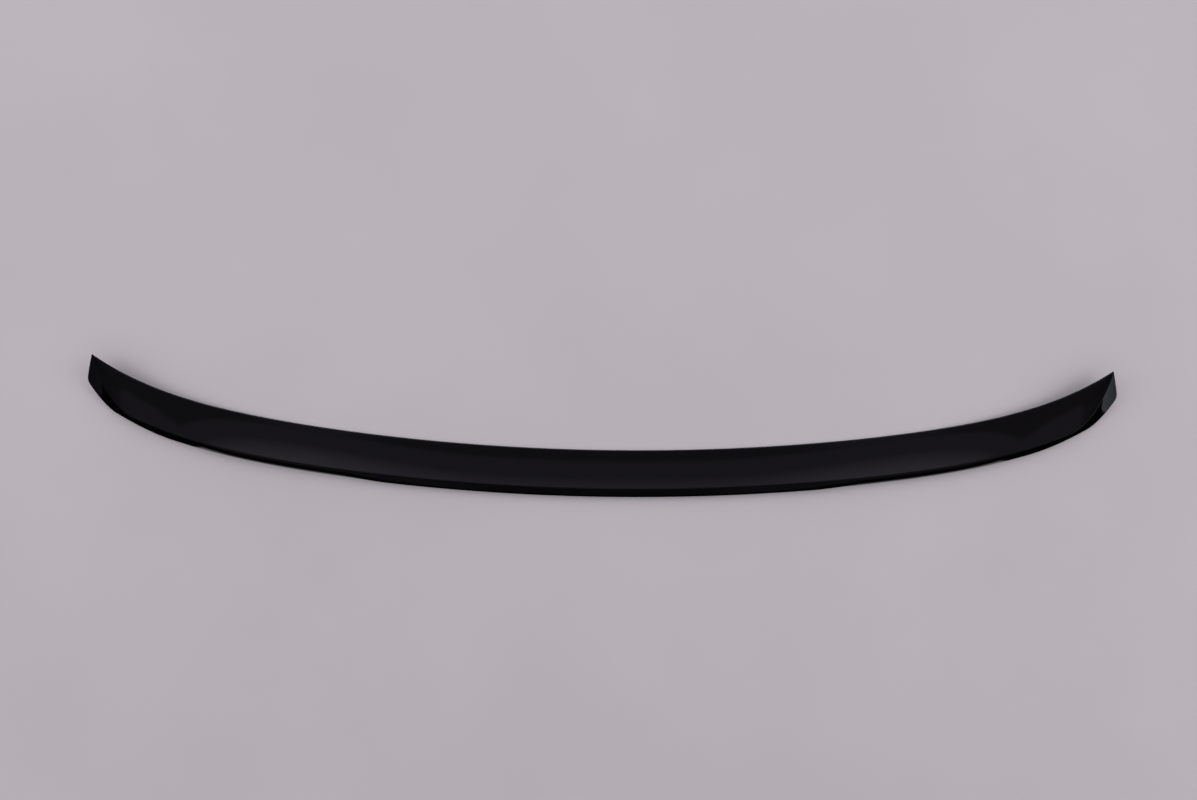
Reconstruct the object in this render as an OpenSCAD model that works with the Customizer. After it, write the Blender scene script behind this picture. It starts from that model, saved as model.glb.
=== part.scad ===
// Lip spoiler for a boot lid: one moulded shell, open underneath.
// Origin at the middle of the overall plan box, on the flat bonding face.
// X runs along the lip, +Y points to the leading edge and +Z is up.

/* [Plan] */
// Overall length, corner to corner
span = 1120; // [900:5:1300]
// Depth of the centre section, leading edge to rear outline
chord = 51; // [40:1:70]
// How far the whole lip sweeps forward in an even curve
sweep = 63; // [40:1:90]
// Extra forward hook of the ends
hook = 32; // [15:1:45]
// How late the hook sets in
hook_power = 8.8; // [5:0.2:12]
// How far each end corner stands out past its tip
end_lean = 9; // [4:0.5:12]
// Length of the short end edge, tip to corner
end_edge = 29; // [20:1:40]
// Steepness of the rear outline's end cut
end_cut = 2.2; // [1.6:0.1:2.6]
// Steepness of the crease's run to the tip
crease_cut = 2.5; // [2:0.1:3]
// Blend of the rear outline into its end cut
outline_blend = 26; // [10:1:35]
// Blend of the crease into its run to the tip
crease_blend = 42; // [20:1:55]

/* [Section] */
// Width of the rear wall in plan
wall_plan = 9; // [6:0.5:12]
// Height of the lip at the centre
lip_mid = 15; // [12:0.5:22]
// Height of the lip along the wings
lip_wing = 18.5; // [14:0.5:26]
// Distance from the centre where the wings start to grow
wing_start = 130; // [80:5:200]
// Distance from the centre where the wings reach their height
wing_full = 360; // [260:5:420]
// Length of plan over which the lip runs out to the tip
run_out = 80; // [60:1:95]
// Share of the face's rise that is curved up into the lip
face_hollow = 0.55; // [0.2:0.05:0.8]
// Thickness of the leading edge and of the rim round the ends
edge_t = 2; // [1.5:0.1:3.5]
// Soft radius along the crease
crease_r = 2; // [0.5:0.25:3]

/* [Bonding face] */
// Flat length ahead of the rearmost point
flat_len = 68; // [60:1:80]
// Slope that the lid rises at ahead of the flat, in degrees
lid_slope = 21; // [10:1:30]
// Radius between the flat and the slope
lid_bend = 66; // [40:1:120]

/* [Underside] */
// Thickness of the moulded skin
skin = 2.5; // [2:0.1:3.5]
// Width of the front bonding land
front_land = 14; // [10:0.5:18]
// Width of the rear bonding land
rear_land = 8; // [5:0.5:12]
// Spacing of the cross ribs
rib_pitch = 90; // [70:1:110]
// Thickness of a cross rib
rib_t = 2.2; // [1.5:0.1:4]
// How far the ribs stand back from the bonding face
rib_back = 1; // [0.5:0.1:2]

/* [Hidden] */
tip_x = span / 2 - end_lean;
tip_y = sweep + hook;
corner_y = tip_y - end_edge;
y_shift = (tip_y - chord) / 2;
bend_run = lid_bend * sin(lid_slope);
// Pockets on each side of the centre rib, as many as fit before the ends thin out
pocket_end_x = tip_x - run_out - rear_land;
pockets = floor((pocket_end_x - rib_t / 2) / rib_pitch);
steps_pocket = 6;
steps_end = 22;
steps_face = 9;
steps_wall = 7;
steps_nose = 3;
// Share of the run-out that eases into the full lip
run_out_blend = 0.35;
// Where the wall's two inner curve points lie: share of its width, share of its drop, twice
wall_pull_mid = [0.55, 0.14, 0.90, 0.45];
wall_pull_end = [0.33, 0.28, 0.70, 0.60];
// How fast the wall's curve leaves the crease, in wall widths
wall_speed = 1.6;
// Share of the leading edge's thickness that is rounded off
nose_round = 0.7;
// Largest share of a narrow station that nose, crease rounding and lands may take
nose_share = 1 / 8;
crease_share = 1 / 4;
rear_share = 1 / 4;
front_share = 1 / 3;
// The skin measured upright is this much thicker than straight through the sloping face
skin_upright = 1.15;
// Drop of the pocket's rear corner, and the least width and height of a pocket
pocket_corner = 3;
pocket_min_w = 2;
pocket_min_h = 0.2;

function clamp01(t) = min(1, max(0, t));
function smooth(t) = let (c = clamp01(t)) c * c * (3 - 2 * c);
function mix(a, b, t) = a + (b - a) * t;
// The larger of two values, with a rounded change-over k wide
function soft_max(a, b, k) = max(a, b) + pow(max(k - abs(a - b), 0), 2) / (4 * k);
function bezier3(a, b, c, d, t) =
    a * pow(1 - t, 3) + 3 * b * t * pow(1 - t, 2) + 3 * c * t * t * (1 - t) + d * pow(t, 3);

// Plan curves: forward sweep, rear outline and crease, for x measured from the centre
function lead_y(x) = let (q = abs(x) / tip_x) sweep * q * q + hook * pow(q, hook_power);
function rear_y(x) =
    soft_max(lead_y(x) - chord, corner_y - end_cut * (span / 2 - abs(x)), outline_blend);
function crease_y(x) =
    min(lead_y(x),
        soft_max(lead_y(x) - chord + wall_plan, tip_y - crease_cut * (tip_x - abs(x)), crease_blend));

// The bonding face is flat at the rear and rises with the lid further forward
function base_z(y) =
    let (d = y + chord - flat_len)
    d <= 0 ? 0 :
    d < bend_run ? lid_bend - sqrt(lid_bend * lid_bend - d * d) :
    (d - lid_bend * tan(lid_slope / 2)) * tan(lid_slope);

// Height of the crease above the bonding face
function lip_h(x) =
    let (
        lip = mix(lip_mid, lip_wing, smooth((abs(x) - wing_start) / (wing_full - wing_start))),
        gone = soft_max(0, 1 - (tip_y - crease_y(x)) / run_out, run_out_blend)
    )
    edge_t + (lip - edge_t) * (1 - gone);

// Station line: from the leading edge at x to the rear outline, which fans out at the ends
function fan(x) = end_lean * smooth((abs(x) - tip_x + run_out) / run_out);
function side(x) = x < 0 ? -1 : 1;
function lead_p(x) = [x, lead_y(x)];
function rear_p(x) = let (r = abs(x) + fan(x)) [side(x) * r, rear_y(r)];
function on_line(x, v) =
    let (a = lead_p(x), b = rear_p(x), d = norm(b - a))
    a + (b - a) * v / max(d, 0.001);
function depth(x) = norm(rear_p(x) - lead_p(x));
function crease_v(x) = depth(x) * (lead_y(x) - crease_y(x)) / (lead_y(x) - rear_p(x)[1]);
function crease_z(x) = base_z(crease_y(x)) + lip_h(x);
function point(x, v, z) = let (p = on_line(x, v)) [p[0], p[1] - y_shift, z];

// Height of the face at distance v behind the leading edge
function face_z(x, v) =
    let (
        w = max(crease_v(x), 0.001),
        q = clamp01(v / w),
        z0 = base_z(lead_y(x)) + edge_t,
        z1 = crease_z(x)
    )
    mix(z0, z1, (1 - face_hollow) * q + face_hollow * q * q);

// Rear wall from the crease to the rim: a lip along the middle, a plain slope at the ends
function wall_form(x) = smooth((abs(x) - tip_x + 2 * run_out) / (2 * run_out));
function wall_pt(x, t) =
    let (
        v0 = crease_v(x),
        w = depth(x) - v0,
        z0 = crease_z(x),
        z1 = base_z(rear_p(x)[1]) + edge_t,
        h = z0 - z1,
        pull = mix(wall_pull_mid, wall_pull_end, wall_form(x))
    )
    [
        bezier3(v0, v0 + pull[0] * w, v0 + pull[2] * w, v0 + w, t),
        bezier3(z0, z0 - pull[1] * h, z0 - pull[3] * h, z1, t)
    ];

// Outer points of one station, from the top of the nose over the crease to the rim
function nose_run(x) = min(edge_t * nose_round, depth(x) * nose_share);
function nose_pts(x) = [
    for (i = [0 : steps_nose])
        let (a = 90 * i / steps_nose, n = nose_run(x))
        [n * (1 - cos(a)), base_z(lead_y(x)) + edge_t * (1 - nose_round * (1 - sin(a)))
            + (face_z(x, n) - face_z(x, 0)) * i / steps_nose]
];
function face_pts(x) =
    let (n = nose_run(x), v1 = crease_v(x) - min(crease_r / 2, crease_v(x) * crease_share))
    [for (i = [1 : steps_face]) let (v = mix(n, max(v1, n), i / steps_face)) [v, face_z(x, v)]];
// Where the crease's rounding ends on the wall's curve
function crease_t(x) =
    min(0.5, crease_r / 2 / max(depth(x) - crease_v(x), 0.001) / wall_speed);
function crease_pts(x) =
    let (
        a = face_pts(x)[steps_face - 1],
        c = [crease_v(x), crease_z(x)],
        b = wall_pt(x, crease_t(x))
    )
    [for (t = [1 / 3, 2 / 3]) a * pow(1 - t, 2) + 2 * c * t * (1 - t) + b * t * t];
function wall_pts(x) =
    [for (i = [0 : steps_wall]) wall_pt(x, mix(crease_t(x), 1, i / steps_wall))];

// Underside points of one station, from the rear rim to the nose
function land_v(x) =
    let (d = depth(x)) [d - min(rear_land, d * rear_share), min(front_land, d * front_share)];
function under_pts(x, back) =
    let (d = depth(x), l = land_v(x))
    [
        for (p = [[d, 0], [l[0], 0], [l[0], back], [l[1], back], [l[1], 0]])
            [p[0], base_z(on_line(x, p[0])[1]) + p[1]],
        [0, base_z(lead_y(x))]
    ];
function ring(x, back) = concat(
    [for (p = concat(nose_pts(x), face_pts(x), crease_pts(x), wall_pts(x))) point(x, p[0], p[1])],
    [for (p = under_pts(x, back)) point(x, p[0], p[1])]
);

// Pocket outline of one station: up the inside of the rear wall and forward under the face
function pocket_top(x) =
    [for (i = [0 : steps_face])
        let (
            l = land_v(x),
            v_end = max(crease_v(x) - skin / 2, l[1] + pocket_min_w),
            v = mix(min(v_end, l[0]), l[1], i / steps_face)
        )
        [v, max(face_z(x, v) - skin * skin_upright,
            base_z(on_line(x, v)[1]) + rib_back + pocket_min_h)]];
function pocket(x) =
    let (l = land_v(x), top = pocket_top(x))
    concat(
        [point(x, l[0], base_z(on_line(x, l[0])[1]) + rib_back)],
        [point(x, l[0], top[0][1] - pocket_corner)],
        [for (p = top) point(x, p[0], p[1])],
        [point(x, l[1], base_z(on_line(x, l[1])[1]) + rib_back)]
    );

// Stations along one half: pocket walls first, then the closed end up to the tip
pocket_x = [
    for (k = [0 : pockets - 1])
        for (i = [0 : steps_pocket])
            mix(k * rib_pitch + rib_t / 2, (k + 1) * rib_pitch - rib_t / 2, i / steps_pocket)
];
last_x = pockets * rib_pitch + rib_t / 2;
end_x = [for (i = [0 : steps_end]) mix(last_x, tip_x, sin(90 * i / steps_end))];
half_x = concat(pocket_x, [last_x], end_x);
half_back = concat(
    [for (x = pocket_x) rib_back], [rib_back], [for (x = end_x) 0]);
n_half = len(half_x);
xs = concat([for (i = [n_half - 1 : -1 : 0]) -half_x[i]], half_x);
backs = concat([for (i = [n_half - 1 : -1 : 0]) half_back[i]], half_back);
n_st = len(xs);

rings = [for (i = [0 : n_st - 1]) ring(xs[i], backs[i])];
n_ring = len(rings[0]);
// The strip between the two lands is left open over each pocket
open_edge = n_ring - 4;
per = steps_pocket + 1;
n_pock = pockets * per;
// First station of each pocket, counted along the whole part
pocket_start = concat(
    [for (k = [0 : pockets - 1]) n_half - n_pock + k * per],
    [for (k = [0 : pockets - 1]) n_half + k * per]
);
function in_pocket(i) = len([for (s = pocket_start) if (i >= s && i < s + per - 1) 1]) > 0;

pockets_pts = [for (s = pocket_start) for (i = [s : s + per - 1]) pocket(xs[i])];
n_pk = len(pockets_pts[0]);
// A pocket's first and last points are the ring's own
function pk(block, i, j) =
    j == 0 ? (pocket_start[block] + i) * n_ring + open_edge :
    j == n_pk - 1 ? (pocket_start[block] + i) * n_ring + open_edge + 1 :
    n_st * n_ring + (block * per + i) * n_pk + j;

module lip_spoiler() {
    points = concat([for (r = rings) each r], [for (p = pockets_pts) each p]);
    skin_faces = [
        for (i = [0 : n_st - 2])
            for (j = [0 : n_ring - 1])
                if (!(j == open_edge && in_pocket(i)))
                    let (
                        a = i * n_ring + j,
                        b = i * n_ring + (j + 1) % n_ring,
                        c = a + n_ring,
                        d = b + n_ring
                    )
                    each [[a, c, b], [b, c, d]]
    ];
    pocket_faces = [
        for (k = [0 : 2 * pockets - 1])
            for (i = [0 : per - 2])
                for (j = [0 : n_pk - 2])
                    each [
                        [pk(k, i, j), pk(k, i + 1, j), pk(k, i, j + 1)],
                        [pk(k, i, j + 1), pk(k, i + 1, j), pk(k, i + 1, j + 1)]
                    ]
    ];
    pocket_ends = [
        for (k = [0 : 2 * pockets - 1])
            for (j = [1 : n_pk - 2])
                each [
                    [pk(k, 0, 0), pk(k, 0, j), pk(k, 0, j + 1)],
                    [pk(k, per - 1, 0), pk(k, per - 1, j + 1), pk(k, per - 1, j)]
                ]
    ];
    last = (n_st - 1) * n_ring;
    end_faces = [
        for (j = [1 : n_ring - 2])
            each [[0, j, j + 1], [last, last + j + 1, last + j]]
    ];
    color("black")
        polyhedron(points, concat(skin_faces, pocket_faces, pocket_ends, end_faces), convexity = 10);
}

lip_spoiler();
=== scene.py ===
import math

import bmesh
import bpy
import numpy as np
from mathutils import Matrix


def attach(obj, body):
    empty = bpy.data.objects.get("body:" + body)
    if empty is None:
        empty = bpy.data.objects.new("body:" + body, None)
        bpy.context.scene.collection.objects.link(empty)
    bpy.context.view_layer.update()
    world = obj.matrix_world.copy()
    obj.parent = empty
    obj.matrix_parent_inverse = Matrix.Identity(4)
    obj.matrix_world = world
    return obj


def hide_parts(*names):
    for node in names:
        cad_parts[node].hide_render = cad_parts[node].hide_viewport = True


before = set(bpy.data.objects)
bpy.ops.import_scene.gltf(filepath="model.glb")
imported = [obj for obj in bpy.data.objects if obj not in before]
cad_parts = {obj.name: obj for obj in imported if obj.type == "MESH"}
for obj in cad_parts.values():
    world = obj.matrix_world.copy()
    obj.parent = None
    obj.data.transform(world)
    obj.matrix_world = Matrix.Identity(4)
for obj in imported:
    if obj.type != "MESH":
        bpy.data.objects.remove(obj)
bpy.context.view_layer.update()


# Camera: straight above the lip, turned as little as the photograph is
cameraSettings = {
    "height": 1.300,
    "centre": (-0.0039, 0.0329),
    "turn": 0.97,
    "pictureWidth": 1.318,
    "sensor": 36.0,
}


def makeCamera(settings):
    data = bpy.data.cameras.new("photoCamera")
    data.sensor_width = settings["sensor"]
    data.lens = settings["sensor"] * settings["height"] / settings["pictureWidth"]
    camera = bpy.data.objects.new("photoCamera", data)
    x, y = settings["centre"]
    camera.location = (x, y, settings["height"])
    camera.rotation_euler = (0, 0, math.radians(settings["turn"]))
    bpy.context.collection.objects.link(camera)
    bpy.context.scene.camera = camera
    return camera


makeCamera(cameraSettings)
print("camera set")


# One socket of a shader graph, so that shader maths reads as plain arithmetic
class Wire:
    def __init__(self, graph, socket):
        self.graph = graph
        self.socket = socket

    def join(self, operation, first, second):
        return self.graph.add("ShaderNodeMath", {"operation": operation}, {0: first, 1: second})

    def __add__(self, other):
        return self.join("ADD", self, other)

    def __radd__(self, other):
        return self.join("ADD", other, self)

    def __sub__(self, other):
        return self.join("SUBTRACT", self, other)

    def __rsub__(self, other):
        return self.join("SUBTRACT", other, self)

    def __mul__(self, other):
        return self.join("MULTIPLY", self, other)

    def __rmul__(self, other):
        return self.join("MULTIPLY", other, self)

    def __truediv__(self, other):
        return self.join("DIVIDE", self, other)

    def __rtruediv__(self, other):
        return self.join("DIVIDE", other, self)

    def __pow__(self, other):
        return self.join("POWER", self, other)


class Graph:
    def __init__(self, tree):
        self.tree = tree
        tree.nodes.clear()

    # Adds a node of a type, sets it up, fills its sockets and gives back one output
    def add(self, kind, settings=None, inputs=None, output=0):
        node = self.tree.nodes.new(kind)
        for name, value in (settings or {}).items():
            if name == "stops":
                ramp = node.color_ramp
                while len(ramp.elements) < len(value):
                    ramp.elements.new(0.5)
                for element, (place, colour) in zip(ramp.elements, value):
                    element.position = place
                    element.color = colour
            else:
                setattr(node, name, value)
        for name, value in (inputs or {}).items():
            if isinstance(value, Wire):
                self.tree.links.new(value.socket, node.inputs[name])
            else:
                node.inputs[name].default_value = value
        return Wire(self, node.outputs[output])

    def finish(self, shader, kind="ShaderNodeOutputMaterial"):
        target = self.tree.nodes.new(kind)
        self.tree.links.new(shader.socket, target.inputs["Surface"])


def newMaterial(name):
    material = bpy.data.materials.new(name)
    material.use_nodes = True
    return material, Graph(material.node_tree)


# The lip's sizes, in metres and degrees
lip = {
    "span": 1.120,
    "chord": 0.051,
    "sweep": 0.063,
    "hook": 0.032,
    "hookPower": 8.8,
    "endLean": 0.009,
    "endEdge": 0.029,
    "endCut": 2.2,
    "creaseCut": 2.5,
    "outlineBlend": 0.026,
    "creaseBlend": 0.042,
    "wallPlan": 0.009,
    "lipMid": 0.015,
    "lipWing": 0.0185,
    "wingStart": 0.130,
    "wingFull": 0.360,
    "runOut": 0.080,
    "runOutBlend": 0.35,
    "faceHollow": 0.55,
    "edge": 0.002,
    "skirtShare": 0.55,
    "skirtLean": 0.0016,
    "leanStart": 0.260,
    "leanEnd": 0.460,
    "leanFade": 0.030,
    "creaseRadius": 0.002,
    "cornerCut": 0.006,
    "noseRound": 0.7,
    "noseShare": 1 / 8,
    "creaseShare": 1 / 4,
    "rearShare": 1 / 4,
    "frontShare": 1 / 3,
    "wallPullMiddle": (0.42, 0.24, 0.76, 0.62),
    "wallPullEnd": (0.33, 0.28, 0.70, 0.60),
    "wallSpeed": 1.6,
    "skinUpright": 1.15,
    "pocketCorner": 0.003,
    "pocketLeastWidth": 0.002,
    "pocketLeastHeight": 0.0002,
    "flatLength": 0.068,
    "lidSlope": 21.0,
    "lidBend": 0.066,
    "skin": 0.0025,
    "frontLand": 0.014,
    "rearLand": 0.008,
    "ribPitch": 0.090,
    "ribThickness": 0.0022,
    "ribBack": 0.001,
    "noseSteps": 8,
    "faceSteps": 34,
    "creaseSteps": 6,
    "wallSteps": 20,
    "pocketSteps": 22,
    "pocketTopSteps": 12,
    "endSteps": 90,
}
tipX = lip["span"] / 2 - lip["endLean"]
tipY = lip["sweep"] + lip["hook"]
cornerY = tipY - lip["endEdge"]
shiftY = (tipY - lip["chord"]) / 2


def smooth(t):
    c = np.clip(t, 0, 1)
    return c * c * (3 - 2 * c)


def mix(a, b, t):
    return a + (b - a) * t


# The larger of two values, rounded where they are within k of each other
def softMax(a, b, k):
    return np.maximum(a, b) + np.maximum(k - np.abs(a - b), 0) ** 2 / (4 * k)


# Cubic curve through a and d, pulled by b and c
def bezier(a, b, c, d, t):
    return a * (1 - t) ** 3 + 3 * b * t * (1 - t) ** 2 + 3 * c * t * t * (1 - t) + d * t ** 3


# Leading edge: a parabola plus a late hook, both in the share of the half length
def leadY(x):
    q = np.abs(x) / tipX
    return lip["sweep"] * q * q + lip["hook"] * q ** lip["hookPower"]


# Rear outline: the leading edge moved back by the chord, running softly into the end cut
def rearY(x):
    cut = cornerY - lip["endCut"] * (lip["span"] / 2 - np.abs(x))
    return softMax(leadY(x) - lip["chord"], cut, lip["outlineBlend"])


# Crease: the rear outline moved in by the wall, running softly into the tip
def creaseY(x):
    run = tipY - lip["creaseCut"] * (tipX - np.abs(x))
    back = leadY(x) - lip["chord"] + lip["wallPlan"]
    return np.minimum(leadY(x), softMax(back, run, lip["creaseBlend"]))


# Bonding face: flat, then an arc, then a straight slope
def baseZ(y):
    slope = math.radians(lip["lidSlope"])
    radius = lip["lidBend"]
    d = y + lip["chord"] - lip["flatLength"]
    inArc = np.clip(d, 0, radius * math.sin(slope))
    arc = radius - np.sqrt(radius ** 2 - inArc ** 2)
    line = (d - radius * math.tan(slope / 2)) * math.tan(slope)
    return np.where(d < radius * math.sin(slope), arc, line)


def lipHeight(x):
    grow = smooth((np.abs(x) - lip["wingStart"]) / (lip["wingFull"] - lip["wingStart"]))
    full = mix(lip["lipMid"], lip["lipWing"], grow)
    gone = softMax(0, 1 - (tipY - creaseY(x)) / lip["runOut"], lip["runOutBlend"])
    return lip["edge"] + (full - lip["edge"]) * (1 - gone)


# Rear outline with the end corner rounded: a curve pulled by the corner, from the end edge
# to the end cut, as long on each as the cut's length
def roundCorner(x):
    cornerX = lip["span"] / 2
    corner = np.array([[cornerX], [rearY(cornerX)]])
    toTip = np.array([[tipX], [tipY]]) - corner
    start = corner + toTip / np.linalg.norm(toTip) * lip["cornerCut"]
    run = lip["cornerCut"] / math.hypot(1, lip["endCut"])
    end = np.array([[cornerX - run], [rearY(cornerX - run)]])
    t = np.clip((cornerX - x) / run, 0, 1)
    curve = start * (1 - t) ** 2 + 2 * corner * t * (1 - t) + end * t * t
    return np.where(t < 1, curve, np.stack([x, rearY(x)]))


# A station runs from the leading edge at x to the rear outline and fans out at the ends
class Stations:
    def __init__(self, x):
        self.x = x
        self.sign = np.where(x < 0, -1.0, 1.0)
        ax = np.abs(x)
        self.lead = np.stack([ax, leadY(ax)])
        fan = lip["endLean"] * smooth((ax - tipX + lip["runOut"]) / lip["runOut"])
        self.rear = roundCorner(ax + fan)
        self.depth = np.hypot(*(self.rear - self.lead))
        self.creaseV = self.depth * (leadY(ax) - creaseY(ax)) / (self.lead[1] - self.rear[1])
        self.creaseZ = baseZ(creaseY(ax)) + lipHeight(ax)
        self.leadZ = baseZ(self.lead[1])
        self.form = smooth((ax - tipX + 2 * lip["runOut"]) / (2 * lip["runOut"]))
        skirt = lip["skirtShare"] * lipHeight(ax)
        self.rimZ = baseZ(self.rear[1]) + mix(skirt, lip["edge"], self.form)
        fade = 2 * lip["leanFade"]
        lean = smooth((ax - lip["leanStart"]) / fade + 0.5)
        lean = lean * (1 - smooth((ax - lip["leanEnd"]) / fade + 0.5))
        self.rimV = self.depth - lip["skirtLean"] * lean
        self.rearLandV = self.depth - np.minimum(lip["rearLand"], self.depth * lip["rearShare"])
        self.frontLandV = np.minimum(lip["frontLand"], self.depth * lip["frontShare"])

    def planY(self, v):
        return self.lead[1] + (self.rear[1] - self.lead[1]) * v / self.depth

    def place(self, v, z):
        share = v / self.depth
        px = self.lead[0] + (self.rear[0] - self.lead[0]) * share
        return np.stack([px * self.sign, self.planY(v) - shiftY, z], axis=1)

    # Face: part straight, part squared, so that it hollows up into the lip
    def faceZ(self, v):
        q = np.clip(v / np.maximum(self.creaseV, 1e-6), 0, 1)
        return mix(self.leadZ + lip["edge"], self.creaseZ,
                   (1 - lip["faceHollow"]) * q + lip["faceHollow"] * q * q)

    # Rear wall: one cubic curve from the crease to the rim, a lip in the middle, a slope at the ends
    def wall(self, t):
        v0 = self.creaseV
        w = self.rimV - v0
        z0 = self.creaseZ
        h = z0 - self.rimZ
        pull = [mix(a, b, self.form) for a, b in zip(lip["wallPullMiddle"], lip["wallPullEnd"])]
        return (bezier(v0, v0 + pull[0] * w, v0 + pull[2] * w, self.rimV, t),
                bezier(z0, z0 - pull[1] * h, z0 - pull[3] * h, self.rimZ, t))


def ringPoints(st, back):
    points = []
    nose = np.minimum(lip["edge"] * lip["noseRound"], st.depth * lip["noseShare"])
    for i in range(lip["noseSteps"] + 1):
        a = math.pi / 2 * i / lip["noseSteps"]
        rise = (st.faceZ(nose) - st.faceZ(nose * 0)) * i / lip["noseSteps"]
        thick = lip["edge"] * (1 - lip["noseRound"] * (1 - math.sin(a)))
        points.append(st.place(nose * (1 - math.cos(a)), st.leadZ + thick + rise))
    faceEnd = st.creaseV - np.minimum(lip["creaseRadius"] / 2, st.creaseV * lip["creaseShare"])
    for i in range(1, lip["faceSteps"] + 1):
        v = mix(nose, np.maximum(faceEnd, nose), i / lip["faceSteps"])
        points.append(st.place(v, st.faceZ(v)))
    faceEnd = np.maximum(faceEnd, nose)
    wallWidth = np.maximum(st.depth - st.creaseV, 1e-6)
    t0 = np.minimum(0.5, lip["creaseRadius"] / 2 / wallWidth / lip["wallSpeed"])
    wallV, wallZ = st.wall(t0)
    for i in range(1, lip["creaseSteps"]):
        t = i / lip["creaseSteps"]
        v = faceEnd * (1 - t) ** 2 + 2 * st.creaseV * t * (1 - t) + wallV * t * t
        z = st.faceZ(faceEnd) * (1 - t) ** 2 + 2 * st.creaseZ * t * (1 - t) + wallZ * t * t
        points.append(st.place(v, z))
    for i in range(lip["wallSteps"] + 1):
        v, z = st.wall(mix(t0, 1, i / lip["wallSteps"]))
        points.append(st.place(v, z))
    outside = len(points)
    for v, up in ((st.depth, 0), (st.rearLandV, 0), (st.rearLandV, back), (st.frontLandV, back),
                  (st.frontLandV, 0), (st.depth * 0, 0)):
        points.append(st.place(v, baseZ(st.planY(v)) + up))
    return np.stack(points, axis=1), outside


def pocketPoints(st):
    foot = baseZ(st.planY(st.rearLandV)) + lip["ribBack"]
    tops = []
    vEnd = np.maximum(st.creaseV - lip["skin"] / 2, st.frontLandV + lip["pocketLeastWidth"])
    vEnd = np.minimum(vEnd, st.rearLandV)
    for i in range(lip["pocketTopSteps"] + 1):
        v = mix(vEnd, st.frontLandV, i / lip["pocketTopSteps"])
        lowest = baseZ(st.planY(v)) + lip["ribBack"] + lip["pocketLeastHeight"]
        z = np.maximum(st.faceZ(v) - lip["skin"] * lip["skinUpright"], lowest)
        tops.append((v, z))
    corner = tops[0][1] - lip["pocketCorner"]
    points = [st.place(st.rearLandV, foot), st.place(st.rearLandV, corner)]
    points += [st.place(v, z) for v, z in tops]
    points.append(st.place(st.frontLandV, baseZ(st.planY(st.frontLandV)) + lip["ribBack"]))
    return np.stack(points, axis=1)


# Quads between neighbouring rows of a grid of vertex numbers
def gridQuads(numbers, flip=False):
    a = numbers[:-1, :-1]
    b = numbers[:-1, 1:]
    c = numbers[1:, 1:]
    d = numbers[1:, :-1]
    order = (a, b, c, d) if flip else (a, d, c, b)
    return np.stack(order, axis=-1).reshape(-1, 4)


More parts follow.
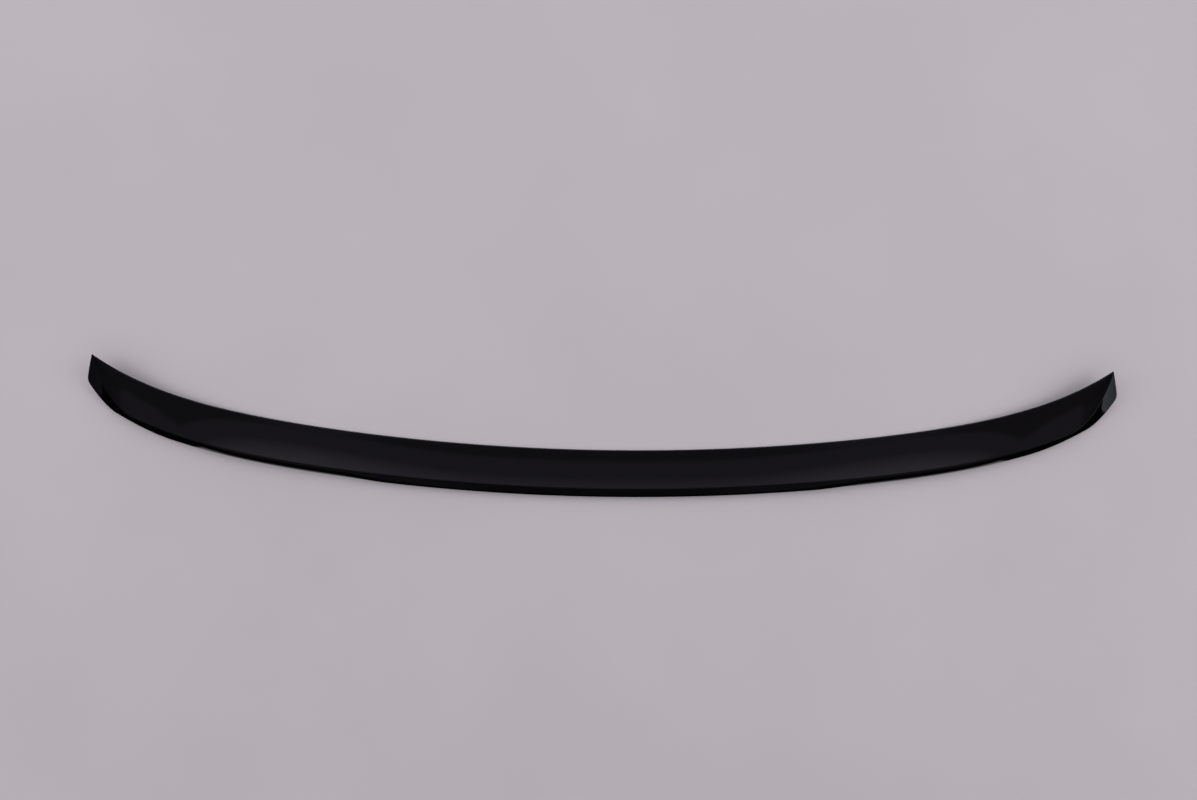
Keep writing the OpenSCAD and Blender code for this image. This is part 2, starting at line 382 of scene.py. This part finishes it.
def buildLip():
    pitch = lip["ribPitch"]
    half = lip["ribThickness"] / 2
    pockets = int((tipX - lip["runOut"] - lip["rearLand"] - half) // pitch)
    steps = lip["pocketSteps"]
    pocketX = [np.linspace(k * pitch + half, (k + 1) * pitch - half, steps + 1) for k in range(pockets)]
    lastX = pockets * pitch + half
    ends = mix(lastX, tipX, np.sin(np.linspace(0, math.pi / 2, lip["endSteps"] + 1)))
    halfX = np.concatenate(pocketX + [[lastX], ends])
    halfBack = np.concatenate([np.full(pockets * (steps + 1) + 1, lip["ribBack"]), np.zeros(len(ends))])
    xs = np.concatenate([-halfX[::-1], halfX])
    backs = np.concatenate([halfBack[::-1], halfBack])
    rings, outside = ringPoints(Stations(xs), backs)
    stations, perRing = rings.shape[:2]
    numbers = np.arange(stations * perRing).reshape(stations, perRing)
    closed = np.concatenate([numbers, numbers[:, :1]], axis=1)
    openEdge = perRing - 4
    verts = [rings.reshape(-1, 3)]
    count = stations * perRing
    starts = [len(halfX) - pockets * (steps + 1) + k * (steps + 1) for k in range(pockets)]
    starts += [len(halfX) + k * (steps + 1) for k in range(pockets)]
    keep = np.ones((stations - 1, perRing), bool)
    quads = []
    slots = []
    for s in starts:
        keep[s:s + steps, openEdge] = False
        inner = pocketPoints(Stations(xs[s:s + steps + 1]))[:, 1:-1]
        grid = np.arange(inner.shape[0] * inner.shape[1]).reshape(inner.shape[:2]) + count
        count += grid.size
        verts.append(inner.reshape(-1, 3))
        rowNumbers = numbers[s:s + steps + 1]
        full = np.concatenate([rowNumbers[:, openEdge:openEdge + 1], grid,
                               rowNumbers[:, openEdge + 1:openEdge + 2]], axis=1)
        quads.append(gridQuads(full))
        slots.append(np.ones(len(quads[-1]), int))
        for row, turn in ((full[0], 1), (full[-1], -1)):
            fan = np.stack([np.full(len(row) - 2, row[0]), row[1:-1], row[2:]], axis=1)[:, ::turn]
            fan = np.concatenate([fan, fan[:, -1:]], axis=1)
            quads.append(fan)
            slots.append(np.ones(len(fan), int))
    skinQuads = gridQuads(closed)
    underneath = np.tile(np.arange(perRing) >= outside, stations - 1)
    keepFlat = keep.reshape(-1)
    quads.append(skinQuads[keepFlat])
    slots.append(underneath[keepFlat].astype(int))
    for row, turn in ((numbers[0], 1), (numbers[-1], -1)):
        fan = np.stack([np.full(perRing - 2, row[0]), row[1:-1], row[2:]], axis=1)[:, ::turn]
        quads.append(np.concatenate([fan, fan[:, -1:]], axis=1))
        slots.append(np.zeros(perRing - 2, int))
    verts = np.concatenate(verts)
    quads = np.concatenate(quads)
    slots = np.concatenate(slots)
    quads = quads[:, ::-1]    # outwards
    faces = [list(dict.fromkeys(q)) for q in quads.tolist()]
    mesh = bpy.data.meshes.new("lipSkin")
    mesh.from_pydata(verts.tolist(), [], faces)
    mesh.polygons.foreach_set("material_index", slots.astype(np.int32))
    mesh.polygons.foreach_set("use_smooth", np.ones(len(faces), bool))
    # Two stations share one place where the ribbed part ends
    shell = bmesh.new()
    shell.from_mesh(mesh)
    bmesh.ops.remove_doubles(shell, verts=shell.verts, dist=1e-7)
    bmesh.ops.dissolve_degenerate(shell, edges=shell.edges, dist=1e-8)
    openEdges = sum(edge.is_boundary for edge in shell.edges)
    shell.to_mesh(mesh)
    shell.free()
    mesh.set_sharp_from_angle(angle=math.radians(32))
    mesh.update()
    print("lip", len(mesh.vertices), "points", len(mesh.polygons), "faces", openEdges, "open edges")
    piece = bpy.data.objects.new("lipSkin", mesh)
    bpy.context.collection.objects.link(piece)
    return piece


glossBlack = {
    "colour": (0.0016, 0.0013, 0.0016, 1),
    "roughness": 0.09,
    "coat": 0.10,
    "coatRoughness": 0.03,
    "rippleSize": 420.0,
    "rippleDepth": 0.012,
}


def glossMaterial(settings):
    material, graph = newMaterial("gloss_black_paint")
    where = graph.add("ShaderNodeTexCoord", output="Object")
    ripple = graph.add("ShaderNodeTexNoise", None,
                       {"Vector": where, "Scale": settings["rippleSize"], "Detail": 2.0, "Roughness": 0.5})
    cloud = graph.add("ShaderNodeTexNoise", None,
                      {"Vector": where, "Scale": 14.0, "Detail": 3.0, "Roughness": 0.55})
    normal = graph.add("ShaderNodeBump", None,
                       {"Strength": settings["rippleDepth"], "Distance": 0.0004, "Height": ripple})
    rough = settings["roughness"] + (cloud - 0.5) * 0.05
    shader = graph.add("ShaderNodeBsdfPrincipled", None, {
        "Base Color": settings["colour"],
        "Roughness": rough,
        "Coat Weight": settings["coat"],
        "Coat Roughness": settings["coatRoughness"],
        "Normal": normal,
    })
    graph.finish(shader)
    return material


bareBlack = {"colour": (0.018, 0.018, 0.019, 1), "roughness": 0.55, "grainSize": 900.0, "grainDepth": 0.25}


def bareMaterial(settings):
    material, graph = newMaterial("bare_moulded_black")
    where = graph.add("ShaderNodeTexCoord", output="Object")
    grain = graph.add("ShaderNodeTexNoise", None,
                      {"Vector": where, "Scale": settings["grainSize"], "Detail": 4.0})
    flow = graph.add("ShaderNodeTexNoise", None,
                     {"Vector": where, "Scale": 30.0, "Detail": 2.0})
    normal = graph.add("ShaderNodeBump", None,
                       {"Strength": settings["grainDepth"], "Distance": 0.0003, "Height": grain})
    shader = graph.add("ShaderNodeBsdfPrincipled", None, {
        "Base Color": settings["colour"],
        "Roughness": settings["roughness"] + (flow - 0.5) * 0.2,
        "Normal": normal,
    })
    graph.finish(shader)
    return material


piece = buildLip()
piece.data.materials.append(glossMaterial(glossBlack))
piece.data.materials.append(bareMaterial(bareBlack))
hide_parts("lip_spoiler")
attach(piece, "root")
print("lip made")


# Painted shade in the gloss: glossy rays see the floor as black, except a strip of paper close behind the
# lip, and out past the ends
floor = {
    "half": 6.0,
    "colour": (0.56, 0.525, 0.56, 1),
    "roughness": 0.9,
    "cloudSize": 4.0,
    "cloudDepth": 0.04,
    "seenFrom": 0.012,
    "seenTo": 0.022,
    "seenReach": 0.430,
}


def makeFloor(settings):
    h = settings["half"]
    mesh = bpy.data.meshes.new("paleFloor")
    mesh.from_pydata([(-h, -h, 0), (h, -h, 0), (h, h, 0), (-h, h, 0)], [], [(0, 1, 2, 3)])
    plane = bpy.data.objects.new("paleFloor", mesh)
    bpy.context.collection.objects.link(plane)
    material, graph = newMaterial("pale_paper")
    where = graph.add("ShaderNodeTexCoord", output="Object")
    cloud = graph.add("ShaderNodeTexNoise", None,
                      {"Vector": where, "Scale": settings["cloudSize"], "Detail": 3.0})
    dim, bright = (tuple(share * c for c in settings["colour"][:3]) + (1,)
                   for share in (1 - settings["cloudDepth"], 1 + settings["cloudDepth"]))
    colour = graph.add("ShaderNodeMix", {"data_type": "RGBA"},
                       {"Factor": (cloud - 0.35) * 1.4, "A": dim, "B": bright}, output=2)
    paper = graph.add("ShaderNodeBsdfPrincipled", None,
                      {"Base Color": colour, "Roughness": settings["roughness"],
                       "Specular IOR Level": 0.2})
    # Painted shade: black that glossy rays see in place of the paper
    paintedGlossShade = graph.add("ShaderNodeEmission", None, {"Color": (0, 0, 0, 1), "Strength": 0.0})
    # Distance behind the rear outline, or out past the ends
    split = graph.add("ShaderNodeSeparateXYZ", None, {"Vector": where})
    y = Wire(graph, split.socket.node.outputs["Y"])
    reach = split.join("ABSOLUTE", split, 0.0)
    share = reach.join("MINIMUM", reach, tipX) / tipX
    sweep = share * share * lip["sweep"] + share ** lip["hookPower"] * lip["hook"] - lip["chord"]
    cut = reach * lip["endCut"] + (cornerY - lip["endCut"] * lip["span"] / 2)
    behind = sweep.join("MAXIMUM", sweep, cut) - shiftY - y
    outside = reach - settings["seenReach"]
    away = behind.join("MAXIMUM", behind, outside)
    glossShadeMask = graph.add("ShaderNodeMapRange", {"interpolation_type": "SMOOTHSTEP"}, {
        "Value": away, "From Min": settings["seenFrom"], "From Max": settings["seenTo"],
        "To Min": 0.0, "To Max": 1.0})
    # Glossy rays get the painted black where the mask is on, the paper elsewhere
    inGloss = graph.add("ShaderNodeLightPath", output="Is Glossy Ray")
    shader = graph.add("ShaderNodeMixShader", None, {0: inGloss * glossShadeMask, 1: paper, 2: paintedGlossShade})
    graph.finish(shader)
    mesh.materials.append(material)


makeFloor(floor)


lights = {
    "ramp": [(-0.24, 0.05), (-0.15, 0.145), (0.62, 0.15), (0.80, 0.40), (0.95, 0.50)],
    "tint": (1.0, 0.93, 1.16),
    "shade": 0.50,
    "shadeAcross": (0.018, 0.028),
    "shadeAhead": (0.38, 0.44),
    "window": 0.45,
    "room": (0.97, 0.94, 0.97, 1),
    "roomLevel": 0.54,
    "panels": [
        ("front", (0.0, 1.5, 2.0), (2.6, 1.4), 11.0),
        ("left", (-2.0, 0.1, 1.6), (1.2, 1.6), 12.0),
        ("right", (2.0, 0.1, 1.6), (1.2, 1.6), 14.0),
    ],
}


def makeLights(settings):
    world = bpy.data.worlds.new("softRoom")
    bpy.context.scene.world = world
    world.use_nodes = True
    graph = Graph(world.node_tree)
    # The gloss shows a dark room, brighter low down ahead of the leading edge and at the right
    where = graph.add("ShaderNodeTexCoord", output="Generated")
    split = graph.add("ShaderNodeSeparateXYZ", None, {"Vector": where})
    ahead = Wire(graph, split.socket.node.outputs["Y"])
    across = Wire(graph, split.socket.node.outputs["X"])
    low, high = settings["ramp"][0][0], settings["ramp"][-1][0]
    stops = [((place - low) / (high - low), tuple(level * c for c in settings["tint"]) + (1,))
             for place, level in settings["ramp"]]
    level = graph.add("ShaderNodeValToRGB", {"stops": stops}, {"Fac": (ahead - low) / (high - low)})
    far = graph.add("ShaderNodeMapRange", {"interpolation_type": "SMOOTHSTEP"}, {
        "Value": across * across, "From Min": settings["shadeAcross"][0],
        "From Max": settings["shadeAcross"][1], "To Min": settings["shade"], "To Max": 1.0})
    past = graph.add("ShaderNodeMapRange", {"interpolation_type": "SMOOTHSTEP"}, {
        "Value": ahead, "From Min": settings["shadeAhead"][0], "From Max": settings["shadeAhead"][1],
        "To Min": 0.0, "To Max": 1.0})
    strength = far + past * (1.0 - far)
    mirrored = graph.add("ShaderNodeBackground", None, {"Color": level, "Strength": strength})
    beside = graph.add("ShaderNodeMapRange", {"interpolation_type": "SMOOTHSTEP"}, {
        "Value": across, "From Min": 0.55, "From Max": 0.72, "To Min": 0.0,
        "To Max": settings["window"]})
    window = graph.add("ShaderNodeBackground", None, {"Color": (0.88, 1.0, 1.05, 1), "Strength": beside})
    mirrored = graph.add("ShaderNodeAddShader", None, {0: mirrored, 1: window})
    room = graph.add("ShaderNodeBackground", None,
                     {"Color": settings["room"], "Strength": settings["roomLevel"]})
    inGloss = graph.add("ShaderNodeLightPath", output="Is Glossy Ray")
    sky = graph.add("ShaderNodeMixShader", None, {0: inGloss, 1: room, 2: mirrored})
    graph.finish(sky, "ShaderNodeOutputWorld")
    for name, place, size, power in settings["panels"]:
        data = bpy.data.lights.new(name + "Panel", "AREA")
        data.shape = "RECTANGLE"
        data.size, data.size_y = size
        data.energy = power
        panel = bpy.data.objects.new(name + "Panel", data)
        panel.location = place
        panel.visible_glossy = False
        toward = -np.array(place)
        pitch = math.acos(-toward[2] / np.linalg.norm(toward))
        turn = math.atan2(toward[1], toward[0]) - math.pi / 2
        panel.rotation_euler = (pitch, 0, turn)
        bpy.context.collection.objects.link(panel)


makeLights(lights)
bpy.context.scene.view_settings.view_transform = "Standard"
print("stage and lights set")
